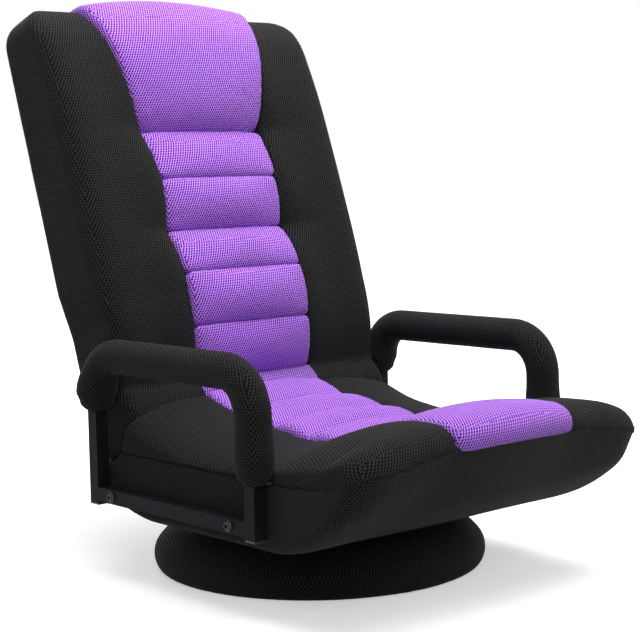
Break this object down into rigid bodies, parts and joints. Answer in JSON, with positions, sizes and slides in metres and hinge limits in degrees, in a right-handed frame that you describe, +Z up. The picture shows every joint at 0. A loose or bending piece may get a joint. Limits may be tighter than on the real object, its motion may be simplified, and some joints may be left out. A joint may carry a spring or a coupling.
{
  "type": "floor gaming chair",
  "caption": "Legless floor chair with a padded swivel base, ratchet-reclining channelled mesh back and padded steel arm loops.",
  "frame": {"origin": "on the floor at the middle of the round base, on the swivel axis", "axes": "+Z up, the sitter faces -Y, +X to the sitter's left"},
  "size_m": [0.542, 0.7355, 0.7598],
  "materials": {
    "black_mesh": "black air mesh over foam",
    "purple_mesh": "purple air mesh over foam",
    "foam": "open-cell foam",
    "webbing": "woven elastic strap",
    "anti_slip": "dotted anti-slip sheet",
    "plywood": "raw plywood",
    "black_steel": "black powder coat",
    "black_bolts": "black oxide",
    "zinc_steel": "zinc plated",
    "plug_plastic": "black moulded",
    "cage_plastic": "natural moulded"
  },
  "bodies": {
    "base": {"base_mat": "anti_slip", "base_board": "plywood", "base_pad": "black_mesh", "swivel_drum": "zinc_steel", "swivel_drum_screws": "zinc_steel", "swivel_pivot": "zinc_steel", "swivel_pivot_nut": "zinc_steel"},
    "bearing": {"swivel_balls": "zinc_steel", "swivel_ball_cage": "cage_plastic"},
    "seat": {"swivel_plate": "zinc_steel", "swivel_plate_bolts": "zinc_steel", "seat_frame": "black_steel", "seat_cross_bars": "black_steel", "seat_webbing": "webbing", "seat_foam": "foam", "seat_underbody": "black_mesh", "seat_bolster_left": "black_mesh", "seat_bolster_right": "black_mesh", "seat_channel_pads": "purple_mesh", "seat_front_roll": "purple_mesh", "hinge_rivets": "zinc_steel", "arm_frame_left": "black_steel", "arm_rail_left": "black_steel", "arm_plugs_left": "plug_plastic", "arm_pad_left": "black_mesh", "arm_bolts_left": "black_bolts", "arm_nuts_left": "black_bolts", "arm_spacers_left": "zinc_steel", "hinge_bracket_left": "zinc_steel", "hinge_pivot_left": "zinc_steel", "hinge_pawl_left": "zinc_steel", "arm_frame_right": "black_steel", "arm_rail_right": "black_steel", "arm_plugs_right": "plug_plastic", "arm_pad_right": "black_mesh", "arm_bolts_right": "black_bolts", "arm_nuts_right": "black_bolts", "arm_spacers_right": "zinc_steel", "hinge_bracket_right": "zinc_steel", "hinge_pivot_right": "zinc_steel", "hinge_pawl_right": "zinc_steel"},
    "backrest": {"hinge_ratchet_left": "zinc_steel", "hinge_ratchet_right": "zinc_steel", "hinge_ratchet_rivets": "zinc_steel", "back_frame": "black_steel", "back_cross_bars": "black_steel", "back_webbing": "webbing", "back_foam": "foam", "back_panel": "black_mesh", "back_bolster_left": "black_mesh", "back_bolster_right": "black_mesh", "lower_channel_pads": "purple_mesh", "upper_channel_pads": "purple_mesh", "head_pillow": "purple_mesh"}
  },
  "joints": [
    {"name": "swivel", "type": "hinge", "parent": "base", "child": "seat", "pos_m": [0, 0, 0.09], "axis": [0, 0, 1], "continuous": true},
    {"name": "ball_ring", "type": "hinge", "parent": "base", "child": "bearing", "pos_m": [0, 0, 0.09], "axis": [0, 0, 1], "continuous": true},
    {"name": "recline", "type": "hinge", "parent": "seat", "child": "backrest", "pos_m": [0, 0.153, 0.195], "axis": [1, 0, 0], "range_deg": [-71.6, 18.3]}
  ],
  "couplings": [
    {"joint": "ball_ring", "follows": "swivel", "ratio": 0.5}
  ]
}
